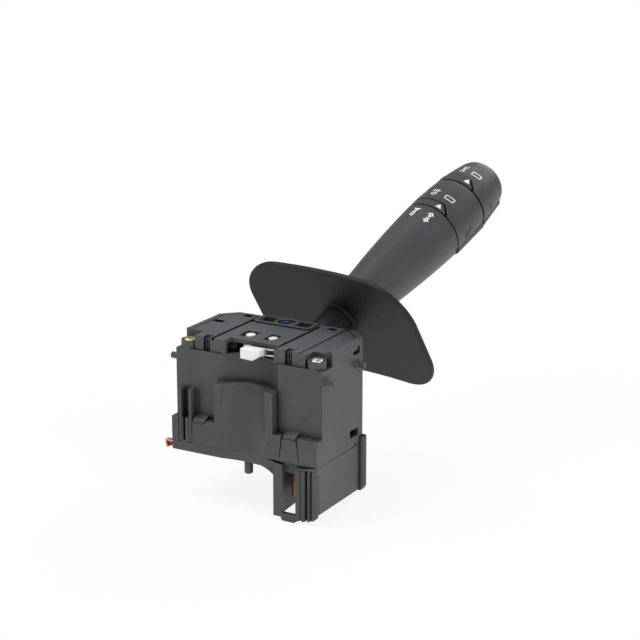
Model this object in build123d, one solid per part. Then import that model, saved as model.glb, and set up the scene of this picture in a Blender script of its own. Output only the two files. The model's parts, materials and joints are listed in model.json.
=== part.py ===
from build123d import *
import os
from math import atan2, cos, degrees, radians, sin, sqrt

# Combination stalk switch: a housing that clips round a steering column, and a stalk with two rotary rings.
# X runs along the front of the housing, Y away from the column, Z along the column towards the driver.
# The origin is the centre of the locating peg, on the underside of the base plate.

# Housing
case_width = 60.0
case_depth = 34.0
rear_corner_cut = 5.5
case_wall = 2.0
base_thickness = 3.3
panel_height = 37.0
cover_rise = 5.3
screw_notch = 6.9

# Concave saddle that wraps the steering column
saddle_chord = 24.4
saddle_depth = 5.5

# Clip-on saddle cover in front of the case
apron_proud = 3.6
apron_height = 27.2
apron_half_width = 11.9
apron_hollow_width = 17.9
apron_hollow_top = 6.1
apron_hollow_foot = 1.0
clip_block_height = 12.5
tongue_from_edge = 11.4
tongue_top_width = 5.2
tongue_foot_width = 7.8
tongue_height = 8.3
slit_width = 0.55
hook_width = 5.0
hook_height = 2.0
rail_thickness = 1.0
rail_height = 23.2
rails_from_edge = (3.6, 7.8)

# Pegs
locating_peg_radius = 1.55
locating_peg_length = 5.0
side_peg_radius = 1.2
side_peg_length = 3.3
side_peg_places = ((2.4, 4.0), (24.3, 3.6))

# Connector shroud under the base
shroud_width = 17.8
shroud_inset = 3.2
shroud_height = 17.5
shroud_slant = 3.4
shroud_ceiling = 1.2
column_radius = 1.6
column_rise = 2.6
shroud_wall = 2.0
latch_from_edge = 11.55
latch_slot_width = 5.5
latch_bar_drop = 1.6
latch_slot_top = 2.0
scoop_width = 20.6
scoop_sag = 1.6
scoop_depth = 1.4
gusset_width = 8.0
gusset_drop = 3.8
key_rib_count = 4
key_rib_pitch = 1.8
key_rib_radius = 0.7
key_rib_top = 1.3
blade_width = 2.8
blade_thickness = 0.8
blade_length = 10.4
blade_rows_from_edge = (13.0, 4.4)
blade_pitch = 5.0
blade_count = 5
blade_first_y = 3.2
board_front = 9.5
board_rear_gap = 8.5
board_gap = 0.5
board_thickness = 1.6

# Copper strip at the left corner
contact_reach = 3.2
contact_width = 2.9
contact_strip = 0.6
contact_foot = 0.4
contact_top = 2.7

# Top cover
cover_plate = 2.0
cover_gap = 0.05
front_block_inset = 7.4
front_block_setback = 1.0
opening_half = 10.0
rim_setback = 2.6
groove_width = 1.0
groove_depth = 1.2
cover_step = 0.7
cover_step_inset = 10.0
groove_spread = 12.75
cover_holes = ((-3.4, 14.4), (-9.0, 4.0), (-12.4, 4.0))
cover_hole_width = 3.4
cover_hole_depth = 1.6
combs_from_edge = (10.9, 15.6)
comb_width = 2.9
comb_depth = 3.0
frame_width = 23.6
frame_depth = 8.8
frame_rim = 1.2
frame_rise = 0.5
frame_window = 6.2
screw_from_edge = 4.0
screw_y = 3.3
screw_boss_radius = 3.3
screw_boss_height = 2.8
screw_head_radius = 2.3
screw_head_height = 1.6
screw_seat_depth = 1.2
screw_shank_radius = 1.1
screw_length = 9.0

# Mechanism
pivot_x = -2.4
pivot_rear_gap = 3.8
pivot_z = 24.3
turn_range = 12.0
journal_radius = 1.25
trunnion_radius = 1.7
tilt_pin_radius = 2.0
running_gap = 0.05
yoke_half_width = 10.5
yoke_cheek = 3.0
yoke_top_gap = 1.0
yoke_arm = 3.6
yoke_front = 8.7
yoke_rear = 3.6
track_front = 11.9
track_thickness = 2.2
plunger_radius = 2.0
plunger_gap = 0.3
plunger_z = 20.0

# Self-cancelling pawl
post_radius = 1.8
guide_post_x = -6.5
finger_post_x = 2.8
post_y = 12.6
cancel_travel = 2.4
slot_length = 7.2
finger_front = -1.0
finger_left = 3.4
finger_right = 8.0
finger_drop = 1.6
finger_rise = 2.8
slider_left = 9.0
slider_right = 6.6
slider_rear = 4.0
swing_room = 1.4

# Stalk, in its own frame: z runs out along the stalk from the pivot
stalk_azimuth = 9.0
stalk_elevation = 22.0
hub_radius = 5.4
neck_foot_radius = 4.6
neck_radius = 6.6
spigot_end = 60.0
shield_place = 33.5
shield_thickness = 2.0
shield_radius = 290.0
shield_tilt = -10.0
shield_half_width = 38.7
shield_up = 24.3
shield_down = 28.5
shield_corner = 18.0
shield_hub_radius = 7.4
sleeve_start = 38.6
sleeve_end = 93.9
sleeve_start_radius = 8.2
sleeve_end_radius = 12.9
sleeve_swell = 1.6
shell = 1.5
seam = 0.7
ring_end = 113.1
ring_bulge_radius = 13.0
ring_end_radius = 12.4
horn_travel = 0.8
knob_end = 135.4
knob_middle_radius = 11.7
knob_waist_radius = 10.6
dome_height = 7.4
rod_start = 62.0
core_radius = 5.0
core_bore = 3.5
tab_height = 3.55
tab_slant = 3.4
window_gap = 0.5
window_end_gap = 4.0
collar_gap = 1.0
tab_end_angle = 135.0
tab_arc = 99.0
switch_range = 60.0
grip_angle = 214.0
grip_rib_radius = 2.4
grip_proud = 0.9
flute_angle = 26.0

seam_level = base_thickness
half = case_width / 2
cover_height = panel_height + cover_rise
tongue_x = half - tongue_from_edge
rail_xs = [inset - half for inset in rails_from_edge]
rail_foot = seam_level + 0.4
latch_slot_x = half - latch_from_edge
front_block_half = half - front_block_inset
screw_x = half - screw_from_edge
pivot_y = case_depth - pivot_rear_gap
track_radius = pivot_y - track_front
saddle_radius = ((saddle_chord / 2) ** 2 + saddle_depth ** 2) / (2 * saddle_depth)
cover_under = cover_height - cover_plate
yoke_half_height = cover_under - pivot_z - yoke_top_gap
pivot = Vector(pivot_x, pivot_y, pivot_z)
horn_seam = horn_travel + 0.1
knob_start = ring_end + horn_seam


def stalk_frame():
    """Frame of the stalk: z along it, y up towards the driver."""
    az, el = radians(stalk_azimuth), radians(stalk_elevation)
    along = Vector(sin(az) * cos(el), cos(az) * cos(el), sin(el))
    side = Vector(-cos(az), sin(az), 0)
    return Plane(origin=pivot, x_dir=side, z_dir=along)


def box(x0, x1, y0, y1, z0, z1):
    """Box between two corners."""
    corner = Box(x1 - x0, y1 - y0, z1 - z0, align=(Align.MIN, Align.MIN, Align.MIN))
    return Pos(x0, y0, z0) * corner


def rod(axis_plane, radius, start, end):
    """Cylinder along the normal of a plane, from start to end."""
    return axis_plane.location * Pos(0, 0, start) * Cylinder(
        radius, end - start, align=(Align.CENTER, Align.CENTER, Align.MIN)
    )


def plan(side_inset, front, rear):
    """Outline of the housing in plan: straight front, rear corners cut at 45 degrees."""
    edge = half - side_inset
    cut = edge + rear - (half + case_depth - rear_corner_cut - side_inset * sqrt(2))
    return make_face(
        Polyline(
            (-edge, front), (edge, front), (edge, rear - cut),
            (edge - cut, rear), (cut - edge, rear), (-edge, rear - cut), close=True,
        )
    )


def saddle(extra):
    """Circle of the steering column, grown by extra."""
    return Pos(0, saddle_depth - saddle_radius) * Circle(saddle_radius + extra)


def hollow_segment(depth, level):
    """Segment between the straight front of the apron and its concave face."""
    edge = apron_hollow_width / 2
    ends = [(-edge, -apron_proud), (edge, -apron_proud)]
    arc = ThreePointArc(ends[0], (0, depth - apron_proud), ends[1])
    return Pos(0, 0, level) * make_face([arc, Line(ends[1], ends[0])])


def case():
    """Moulded case with open top and bottom, concave front and the exit for the stalk."""
    outside = plan(0, 0, case_depth) - saddle(0)
    inside = plan(case_wall, case_wall, case_depth - case_wall) - saddle(case_wall)
    walls = outside - inside
    body = extrude(Pos(0, 0, seam_level) * walls, panel_height - seam_level)
    shoulder = half + case_depth - rear_corner_cut - case_wall * sqrt(2) - case_depth
    rim = outside - plan(case_wall, -case_depth, case_depth)
    rim = rim & Pos(0, (case_depth + screw_notch) / 2) * Rectangle(case_width, case_depth - screw_notch)
    rim -= Pos(0, case_depth) * Rectangle(2 * shoulder, case_depth)
    body += extrude(Pos(0, 0, panel_height) * rim, cover_height - panel_height)
    for side in (-1, 1):
        post = Pos(side * screw_x, screw_y) * Circle(screw_boss_radius)
        post &= plan(0, 0, case_depth)
        body += extrude(Pos(0, 0, panel_height) * post, -(screw_length + 2))
        pilot = Pos(side * screw_x, screw_y, panel_height) * Cylinder(screw_shank_radius, 2 * screw_length)
        body -= pilot
        for y, drop in side_peg_places:
            z = panel_height - drop
            reach = half - case_wall / 2
            peg = rod(Plane((0, y, z), z_dir=(side, 0, 0)), side_peg_radius, reach, half + side_peg_length)
            root = rod(Plane((0, y, z), z_dir=(side, 0, 0)), side_peg_radius * 1.4, reach, half + 0.6)
            body += peg + root
        inner, outer = sorted((side * (half - 2 * case_wall), side * (half + 1)))
        body -= box(inner, outer, 19.5, 25.4, 7.0, 9.8)
        body -= box(inner, outer, 21.8, 26.4, panel_height + 0.1, panel_height + 1.5)
        body -= box(inner, outer, 24.8, 26.4, panel_height + 0.1, panel_height + 2.8)
        body += snap_hook(side * tongue_x)
    exit_half = yoke_half_width + 2.5
    body -= box(
        pivot_x - exit_half, pivot_x + exit_half, case_depth - 2 * case_wall, case_depth + 1,
        pivot_z - yoke_half_height - 1.0, cover_height,
    )
    for x in rail_xs:
        body += box(x - rail_thickness / 2, x + rail_thickness / 2, -apron_proud, 0.5, rail_foot, rail_height)
    return body


def snap_hook(x):
    """Wedge on the front panel that the clip tongue snaps under."""
    foot = seam_level + tongue_height + 0.15
    profile = make_face(
        Polyline((0.5, foot), (-apron_proud + 0.2, foot), (-apron_proud + 0.2, foot + 0.9),
                 (-1.0, foot + hook_height), (0.5, foot + hook_height), close=True)
    )
    side_view = Plane(origin=(x - hook_width / 2, 0, 0), x_dir=(0, 1, 0), z_dir=(1, 0, 0))
    return extrude(side_view * profile, hook_width)


def saddle_cover():
    """Clip-on cover: concave apron in the middle, a clip block with a snap tongue on each side."""
    blocks = Pos(0, -apron_proud / 2) * Rectangle(case_width, apron_proud)
    body = extrude(Pos(0, 0, seam_level) * blocks, clip_block_height - seam_level)
    apron = Pos(0, 0) * Rectangle(2 * apron_half_width, 2 * apron_proud)
    apron += Pos(0, saddle_depth / 2) * Rectangle(2 * apron_half_width, saddle_depth)
    behind = Pos(0, case_depth / 2) * Rectangle(case_width, case_depth) - saddle(0)
    body += extrude(Pos(0, 0, seam_level) * (apron - behind), apron_height - seam_level)
    scoop = loft([
        hollow_segment(apron_hollow_foot, seam_level - 0.01),
        hollow_segment(apron_hollow_top, apron_height + 0.01),
    ])
    body -= scoop
    body -= tongue_slits(-tongue_x, (-1,)) + tongue_slits(tongue_x, (-1, 1))
    slot = rail_thickness / 2 + 0.25
    for x in rail_xs:
        body -= box(x - slot, x + slot, -apron_proud - 1, 1, rail_foot - 0.2, panel_height)
    return body


def tongue_slits(x, sides):
    """Tapered slits beside a tongue, and the notch above it where the hook sits."""
    top = seam_level + tongue_height
    cutter = box(
        x - hook_width / 2 - slit_width, x + hook_width / 2 + slit_width, -2 * apron_proud, 1,
        top, panel_height,
    )
    foot = seam_level + 0.5
    front = Plane(origin=(x, 1, 0), x_dir=(1, 0, 0), z_dir=(0, -1, 0))
    for side in sides:
        slit = make_face(
            Polyline(
                (side * tongue_top_width / 2, top + 1), (side * (tongue_top_width / 2 + slit_width), top + 1),
                (side * (tongue_foot_width / 2 + slit_width / 3), foot), (side * tongue_foot_width / 2, foot),
                close=True,
            )
        )
        cutter += extrude(front * slit, 2 * apron_proud)
    return cutter


def base():
    """Base plate with the locating peg below and the open connector shroud at the right."""
    outline = plan(0, -apron_proud, case_depth) - hollow_segment(apron_hollow_foot, 0)
    body = extrude(outline, base_thickness)
    peg = Pos(0, 0, -locating_peg_length) * Cylinder(
        locating_peg_radius, locating_peg_length + 1, align=(Align.CENTER, Align.CENTER, Align.MIN)
    )
    peg = chamfer(peg.edges().group_by(Axis.Z)[0], 0.4)
    body += peg
    body += shroud()
    low_boss = Pos(pivot_x, pivot_y, base_thickness) * Cylinder(
        trunnion_radius + 2, pivot_z - yoke_half_height - base_thickness - 0.3,
        align=(Align.CENTER, Align.CENTER, Align.MIN),
    )
    body += low_boss & box(-half, half, 0, case_depth - case_wall - 0.2, 0, panel_height)
    body -= Pos(pivot_x, pivot_y, 1.2) * Cylinder(
        trunnion_radius + running_gap, pivot_z, align=(Align.CENTER, Align.CENTER, Align.MIN)
    )
    slot_left = latch_slot_x - latch_slot_width / 2
    back = shroud_wall - apron_proud
    slot_foot = latch_bar_drop - shroud_height
    body -= box(slot_left, slot_left + latch_slot_width, -2 * apron_proud, back, slot_foot, latch_slot_top)
    return body - front_scoop()


def front_scoop():
    """Shallow scoop in the front edge of the base plate, above the shroud."""
    arc_radius = ((scoop_width / 2) ** 2 + scoop_sag ** 2) / (2 * scoop_sag)
    middle = half - scoop_width / 2
    roll = Plane(origin=(middle, -apron_proud, base_thickness - scoop_sag + arc_radius), z_dir=(0, 1, 0))
    return rod(roll, arc_radius, -1, scoop_depth)


def shroud():
    """Connector shroud: open below, slotted in front for the plug's latch, ribbed at two corners."""
    right = half
    left = right - shroud_width
    rear = case_depth - shroud_inset
    cut = rear_corner_cut - (case_depth - rear)
    outer = make_face(
        Polyline((left, -apron_proud), (right, -apron_proud), (right, rear - cut - 1), (right - cut - 1, rear),
                 (left, rear), close=True)
    )
    outer = fillet(outer.vertices().sort_by_distance(Vector(right, -apron_proud, 0))[0], 2.0)
    inner = offset(outer, -shroud_wall, kind=Kind.INTERSECTION)
    body = extrude(outer, -shroud_height)
    body -= extrude(Pos(0, 0, -shroud_ceiling) * inner, -shroud_height)
    slot_left = latch_slot_x - latch_slot_width / 2
    slot_right = latch_slot_x + latch_slot_width / 2
    for k in range(key_rib_count):
        x = slot_right + 1.3 + k * key_rib_pitch
        rib = Cylinder(key_rib_radius, shroud_height + key_rib_top, align=(Align.CENTER, Align.CENTER, Align.MAX))
        body += Pos(x, -apron_proud + 0.15, key_rib_top) * rib
    # The rear column stands proud of the side wall and runs up past the base plate.
    column = Cylinder(
        column_radius, shroud_height + base_thickness + column_rise, align=(Align.CENTER, Align.CENTER, Align.MIN)
    )
    column = Pos(right + 0.1, rear - cut - 0.4, -shroud_height) * column
    body += column - extrude(Pos(0, 0, seam_level) * plan(-0.1, -1, case_depth + 0.1), panel_height)
    # The mouth slants: it reaches furthest down at the front.
    side_view = Plane(origin=(left - 5, 0, 0), x_dir=(0, 1, 0), z_dir=(1, 0, 0))
    wedge = make_face(
        Polyline((-apron_proud - 2, -shroud_height), (rear + 5, -shroud_height + shroud_slant),
                 (rear + 5, -2 * shroud_height), (-apron_proud - 2, -2 * shroud_height), close=True)
    )
    body -= extrude(side_view * wedge, shroud_width + 10)
    bar_top = -shroud_height + 0.6
    bar = box(slot_left - 0.5, slot_right + 0.5, -apron_proud, -apron_proud + 1.4, bar_top - latch_bar_drop - 0.6, bar_top)
    body += bar
    sweep = ThreePointArc(
        (left - gusset_width, 0), (left - 0.42 * gusset_width, -0.27 * gusset_drop), (left + 0.5, -gusset_drop)
    )
    gusset = make_face([sweep, Polyline((left + 0.5, -gusset_drop), (left + 0.5, 0.5), (left - gusset_width, 0.5),
                                        (left - gusset_width, 0))])
    front = Plane(origin=(0, -apron_proud + 2.5, 0), x_dir=(1, 0, 0), z_dir=(0, -1, 0))
    body += extrude(front * gusset, 1.5)
    return body


def terminal_blades():
    """Two rows of flat blades that hang in the shroud from the contact board."""
    blades = []
    for x in (half - inset for inset in blade_rows_from_edge):
        for k in range(blade_count):
            y = blade_first_y + k * blade_pitch
            blade = box(
                x - blade_thickness / 2, x + blade_thickness / 2, y - blade_width / 2, y + blade_width / 2,
                -1.2 - blade_length, -1.2,
            )
            tip = blade.edges().filter_by(Axis.Y).group_by(Axis.Z)[0]
            blades.append(chamfer(tip, blade_thickness / 4))
    return Compound(children=blades)


def side_contact():
    """Copper strip that sticks out of the lower left corner."""
    y0 = contact_width - apron_proud
    strip = box(-half - contact_reach, -half, -apron_proud + 0.4, y0, contact_top - contact_strip, contact_top)
    strip += box(-half - contact_reach + 0.8, -half, -apron_proud + 0.4, y0, contact_foot, contact_foot + contact_strip)
    strip += box(-half - contact_strip, -half, -apron_proud + 0.4, y0, contact_foot, contact_top)
    lip = strip.edges().filter_by(Axis.Y).group_by(Axis.X)[0]
    return fillet(lip, contact_strip / 3)


def contact_board():
    """Lead frame board on the base plate."""
    edge = half - case_wall - board_gap
    rear = case_depth - board_rear_gap
    return box(-edge, edge, board_front, rear, base_thickness, base_thickness + board_thickness)


def detent_track():
    """Curved wall with three dimples that the plunger clicks into."""
    foot = base_thickness + board_thickness
    arc = Circle(track_radius + track_thickness) - Circle(track_radius)
    wedge = make_face(Polyline((0, 0), (-22, -32), (22, -32), close=True))
    wall = extrude(Pos(pivot_x, pivot_y, foot) * (arc & wedge), pivot_z - foot)
    for step in (-1, 0, 1):
        angle = radians(step * turn_range)
        reach = track_radius + 1.2
        dimple = Sphere(plunger_radius + 0.4)
        x, y = pivot_x + reach * sin(angle), pivot_y - reach * cos(angle)
        wall -= Pos(x, y + 1.5 * cos(angle), plunger_z) * dimple
    return wall


def top_cover():
    """Screwed lid with grooves, post slots, the raised bearing frame and the comb in front."""
    rear = plan(case_wall + cover_gap, screw_notch, case_depth)
    depth = screw_notch - front_block_setback
    front = Pos(0, front_block_setback + depth / 2) * Rectangle(2 * front_block_half, depth + 0.01)
    outline = rear + front
    body = extrude(Pos(0, 0, panel_height) * outline, cover_height - panel_height)
    room = plan(2 * case_wall, screw_notch + case_wall, case_depth - case_wall)
    body -= extrude(Pos(0, 0, panel_height) * room, cover_under - panel_height)
    body -= box(-opening_half, opening_half, -1, screw_notch + 2 * case_wall, panel_height, cover_under)
    body -= box(-opening_half, opening_half, -1, rim_setback, panel_height, cover_height + 1)
    exit_half = yoke_half_width + 2.5
    body -= box(pivot_x - exit_half, pivot_x + exit_half, case_depth - 2 * case_wall, case_depth + 1,
                panel_height, cover_under)
    for x in (pivot_x - groove_spread, pivot_x + groove_spread):
        body -= box(x - groove_width / 2, x + groove_width / 2, 0, case_depth - 1.5,
                    cover_height - groove_depth, cover_height + 1)
    body -= box(half - cover_step_inset, half, 0, case_depth + 1, cover_height - cover_step, cover_height + 1)
    for k, (inset, rear_gap) in enumerate(cover_holes):
        x0 = half + inset - cover_hole_width if k == 2 else -half - inset
        y0 = case_depth - rear_gap
        body -= box(x0, x0 + cover_hole_width, y0, y0 + cover_hole_depth, cover_under - 1, cover_height + 1)
    body -= comb_slot(combs_from_edge[0] - half)
    body -= comb_slot(half - combs_from_edge[1])
    for x, width in ((guide_post_x, 5.6), (finger_post_x, 4.2)):
        rear_end = post_y + post_radius + 1.0
        body -= box(x - width / 2, x + width / 2, rear_end - slot_length, rear_end, cover_under - 1, cover_height + 1)
    body += front_rim()
    body += bearing_frame()
    body -= Pos(pivot_x, pivot_y, cover_height) * Cylinder(journal_radius + running_gap, 20)
    for dx in (-1, 1):
        x = pivot_x + dx * 7.3
        window = Pos(x, pivot_y) * Rectangle(frame_window, frame_window)
        body -= extrude(Pos(0, 0, cover_under - 1) * window, 2 * cover_plate + 2)
    for side in (-1, 1):
        body += screw_boss(side)
        body -= Pos(side * screw_x, screw_y, panel_height) * Cylinder(screw_shank_radius + 0.25, 12)
        seat = panel_height + screw_boss_height - screw_seat_depth
        body -= Pos(side * screw_x, screw_y, seat) * Cylinder(
            screw_head_radius + 0.35, 5, align=(Align.CENTER, Align.CENTER, Align.MIN)
        )
    return body


def comb_slot(x):
    """Slot in the front edge with two thin teeth left standing in it."""
    slot = box(x, x + comb_width, -1, front_block_setback + comb_depth, panel_height, cover_height + 1)
    for k in (1, 2):
        tooth_x = x + k * comb_width / 3
        slot -= box(tooth_x - 0.2, tooth_x + 0.2, front_block_setback + 0.6, 10, 0, cover_height - 0.8)
    return slot


def front_rim():
    """Bead along the front edge of the middle plate."""
    bead = box(-opening_half, opening_half, rim_setback, rim_setback + 1.6, cover_under, cover_height + 0.3)
    return fillet(bead.edges().filter_by(Axis.X).group_by(Axis.Z)[-1], 0.3)


def bearing_frame():
    """Raised rounded frame with the bearing boss of the turn pivot in its middle."""
    depth = case_depth - pivot_y + frame_depth / 2 + 0.2
    shift = (case_depth + 0.2 - depth / 2)
    outer = Pos(pivot_x, shift) * RectangleRounded(frame_width, depth, 1.8)
    inner = Pos(pivot_x, shift) * RectangleRounded(frame_width - 2 * frame_rim, depth - 2 * frame_rim, 0.9)
    rim = extrude(Pos(0, 0, cover_height) * (outer - inner), frame_rise)
    rim &= box(-half, half, 0, case_depth, 0, 2 * cover_height)
    boss = Pos(pivot_x, pivot_y, cover_under) * Cylinder(
        3.4, cover_plate + frame_rise, align=(Align.CENTER, Align.CENTER, Align.MIN)
    )
    return rim + boss


def screw_boss(side):
    """Round ear that the corner screw holds down."""
    ear = Pos(side * screw_x, screw_y, panel_height) * Cylinder(
        screw_boss_radius, screw_boss_height, align=(Align.CENTER, Align.CENTER, Align.MIN)
    )
    inner_x, outer_x = sorted((side * (front_block_half - 0.5), side * (half - case_wall - cover_gap)))
    bridge = box(inner_x, outer_x, screw_y, screw_notch + 0.5, panel_height, panel_height + screw_boss_height)
    ear += bridge
    return ear & box(-half, half, 0, screw_notch + 1, 0, 2 * cover_height)


def cover_screw(side):
    """Pan-head screw in a corner of the cover."""
    seat = panel_height + screw_boss_height - screw_seat_depth
    head = Cylinder(screw_head_radius, screw_head_height, align=(Align.CENTER, Align.CENTER, Align.MIN))
    head = fillet(head.edges().group_by(Axis.Z)[-1], 0.7)
    for turn in (0, 90):
        head -= Pos(0, 0, screw_head_height) * Rot(0, 0, turn + 45) * Box(2.6, 0.5, 1.4)
    shank = Cylinder(screw_shank_radius, screw_length, align=(Align.CENTER, Align.CENTER, Align.MAX))
    return Pos(side * screw_x, screw_y, seat) * (head + shank)


def turn_yoke():
    """Ring-shaped carrier that turns with the stalk and holds its tilt pin."""
    ring = box(-yoke_half_width, yoke_half_width, -yoke_front, yoke_rear, -yoke_half_height, yoke_half_height)
    hole_half = yoke_half_width - yoke_cheek
    ring -= box(-hole_half, hole_half, -yoke_front + 2.6, yoke_rear + 1,
                -yoke_half_height + yoke_arm, yoke_half_height - yoke_arm)
    ring = chamfer(ring.edges().filter_by(Axis.Y).group_by(Axis.Z)[-1], 1.5)
    barrel_z = plunger_z - pivot_z
    nose = track_radius - plunger_gap - 2.2
    forward = Plane((0, 0, barrel_z), z_dir=(0, -1, 0))
    ring += rod(forward, plunger_radius + 1.4, yoke_front - 1, nose)
    ring -= rod(forward, plunger_radius, yoke_front - 1, nose + 1)
    ring -= Rot(0, 90, 0) * Cylinder(tilt_pin_radius, 3 * yoke_half_width)
    ring -= Pos(0, 0, yoke_half_height) * Cylinder(trunnion_radius, 2 * yoke_arm - 1)
    ring -= Pos(0, 0, -yoke_half_height) * Cylinder(trunnion_radius, 2 * yoke_arm - 1)
    return Pos(*pivot) * ring


def trunnion_pins():
    """Upper and lower pivot pins of the yoke."""
    upper_foot = pivot_z + yoke_half_height - yoke_arm + 0.5
    shoulder = cover_under - 0.1
    upper = Pos(pivot_x, pivot_y, upper_foot) * Cylinder(
        trunnion_radius, shoulder - upper_foot, align=(Align.CENTER, Align.CENTER, Align.MIN)
    )
    tip = Cylinder(journal_radius, cover_height + frame_rise - shoulder, align=(Align.CENTER, Align.CENTER, Align.MIN))
    upper += Pos(pivot_x, pivot_y, shoulder) * tip
    lower_top = pivot_z - yoke_half_height + yoke_arm - 0.5
    lower = Pos(pivot_x, pivot_y, 1.3) * Cylinder(
        trunnion_radius, lower_top - 1.3, align=(Align.CENTER, Align.CENTER, Align.MIN)
    )
    return upper, lower


def detent_plunger():
    """Round-nosed plunger in the barrel of the yoke."""
    nose = track_radius - plunger_gap
    length = nose - (yoke_front - 1)
    pin = Cylinder(plunger_radius, length, align=(Align.CENTER, Align.CENTER, Align.MIN))
    pin = fillet(pin.edges().group_by(Axis.Z)[-1], plunger_radius - 0.05)
    forward = Plane((pivot_x, pivot_y - yoke_front + 1, plunger_z), z_dir=(0, -1, 0))
    return forward.location * pin


def contact_wiper():
    """Sprung copper bridge under the yoke."""
    top = pivot_z - yoke_half_height
    foot = base_thickness + board_thickness + 0.3
    strip = box(pivot_x - 7, pivot_x + 7, pivot_y - yoke_front, pivot_y - yoke_front + 3, top - 0.5, top)
    for side in (-1, 1):
        x = pivot_x + side * 5.5
        strip += box(x - 1, x + 1, pivot_y - yoke_front, pivot_y - yoke_front + 3, foot, top - 0.5)
    return strip


def cancel_slider():
    """White carriage of the self-cancelling pawl, with its guide post."""
    top = panel_height + 1.2
    plate = box(-slider_left, slider_right, post_y - post_radius - 0.4, post_y + slider_rear, top - 2.4, top)
    plate = fillet(plate.edges().filter_by(Axis.Z), 1.0)
    guide = Pos(guide_post_x, post_y, top) * Cylinder(
        post_radius, cover_height - 0.3 - top, align=(Align.CENTER, Align.CENTER, Align.MIN)
    )
    guide = fillet(guide.edges().group_by(Axis.Z)[-1], 0.5)
    pin = Pos(finger_post_x, post_y, top) * Cylinder(1.0, 2.6, align=(Align.CENTER, Align.CENTER, Align.MIN))
    return plate + guide + pin


def cancel_finger():
    """White pawl that reaches into the saddle, turning on the carriage's pin."""
    foot = panel_height + 1.25
    top = cover_under - 0.15
    low = panel_height - finger_drop
    knee, shoulder, tip = (finger_right * k / 8 for k in (0.6, 3.0, 5.2))
    profile = make_face(
        Polyline(
            (-finger_left, low), (knee, low), (shoulder, low + 1.0), (tip, low + finger_rise),
            (finger_right, low + finger_rise + 0.4), (finger_right, top), (-finger_left, top), close=True,
        )
    )
    front = Plane(origin=(0, 4.6, 0), x_dir=(1, 0, 0), z_dir=(0, -1, 0))
    block = extrude(front * profile, 4.6 - finger_front)
    block -= saddle_room()
    arm = extrude(Pos(0, 0, foot) * make_face(
        Polyline((-finger_left, 3.0), (finger_right, 3.0), (finger_post_x + 2.6, post_y),
                 (finger_post_x - 2.6, post_y), close=True)
    ), top - foot)
    hub = Pos(finger_post_x, post_y, foot) * Cylinder(2.6, top - foot, align=(Align.CENTER, Align.CENTER, Align.MIN))
    post = Pos(finger_post_x, post_y, foot) * Cylinder(
        post_radius, cover_height - 0.3 - foot, align=(Align.CENTER, Align.CENTER, Align.MIN)
    )
    post = fillet(post.edges().group_by(Axis.Z)[-1], 0.5)
    bore = Pos(finger_post_x, post_y, foot) * Cylinder(
        1.0 + running_gap, 2.7, align=(Align.CENTER, Align.CENTER, Align.MIN)
    )
    return block + arm + hub + post - bore


def saddle_room():
    """Space behind the concave wall's face that the hanging pawl keeps out of."""
    wall = Pos(0, case_depth / 2) * Rectangle(case_width, case_depth) - saddle(-swing_room)
    return extrude(wall, panel_height + 0.4)


def lever_root():
    """Hub on the tilt pin, and the neck that carries the stalk."""
    frame = stalk_frame()
    hub = Pos(*pivot) * Rot(0, 90, 0) * Cylinder(hub_radius, 2 * (yoke_half_width - yoke_cheek) - 0.4)
    profile = make_face(
        Polyline((0, 0), (neck_foot_radius, 0), (neck_foot_radius, 4), (neck_radius, shield_place - 2),
                 (core_bore, shield_place - 2), (core_bore, spigot_end), (0, spigot_end), close=True)
    )
    neck = frame.location * revolve(Plane.XZ * profile, Axis.Z)
    bore = Pos(*pivot) * Rot(0, 90, 0) * Cylinder(tilt_pin_radius + running_gap, 4 * yoke_half_width)
    return hub + neck - bore


def tilt_pin():
    """Steel pin across the yoke."""
    return Pos(*pivot) * Rot(0, 90, 0) * Cylinder(tilt_pin_radius, 2 * yoke_half_width)


def shield_plate():
    """Curved dust shield that travels behind the column shroud's opening."""
    frame = stalk_frame()
    height = shield_up + shield_down
    outline = RectangleRounded(2 * shield_half_width, height, shield_corner)
    outline = Pos(0, (shield_up - shield_down) / 2) * outline
    slab = extrude(outline, 12, both=True)
    shell_ring = Cylinder(shield_radius, 3 * height) - Cylinder(shield_radius - shield_thickness, 3 * height)
    shell_ring = Pos(0, 0, -shield_radius + shield_thickness) * Rot(90, 0, 0) * shell_ring
    plate = slab & shell_ring
    plate = Rot(shield_tilt, 0, 0) * plate
    hub = Pos(0, 0, -2) * Cylinder(
        shield_hub_radius, sleeve_start - shield_place + 2, align=(Align.CENTER, Align.CENTER, Align.MIN)
    )
    plate += hub
    plate -= Cylinder(core_radius, 40)
    return frame.location * Pos(0, 0, shield_place) * plate


def sleeve_radius(z):
    """Outer radius of the fixed sleeve: a gentle swell from the shield to the first seam."""
    u = (z - sleeve_start) / (sleeve_end - sleeve_start)
    rise = sleeve_swell * u - (sleeve_swell - 1) * u * u
    return sleeve_start_radius + (sleeve_end_radius - sleeve_start_radius) * rise


def stalk_sleeve():
    """Fixed tapered sleeve, a shell with a bulkhead at its far end."""
    frame = stalk_frame()
    stations = [sleeve_start + (sleeve_end - sleeve_start) * k / 4 for k in range(5)]
    outer = [(sleeve_radius(z), z) for z in stations]
    inner = [(sleeve_radius(z) - shell, z) for z in reversed(stations)]
    profile = make_face([
        Spline(*outer), Line(outer[-1], inner[0]), Spline(*inner), Line(inner[-1], outer[0]),
    ])
    body = revolve(Plane.XZ * profile, Axis.Z)
    bulkhead_z = sleeve_end - 7
    disc = Pos(0, 0, bulkhead_z) * (Cylinder(sleeve_radius(bulkhead_z) - shell / 2, 2.4) - Cylinder(core_radius, 3))
    collar = Pos(0, 0, sleeve_start + 1.5) * (Cylinder(sleeve_start_radius - shell / 2, 3) - Cylinder(core_radius, 4))
    return frame.location * (body + disc + collar)


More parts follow.
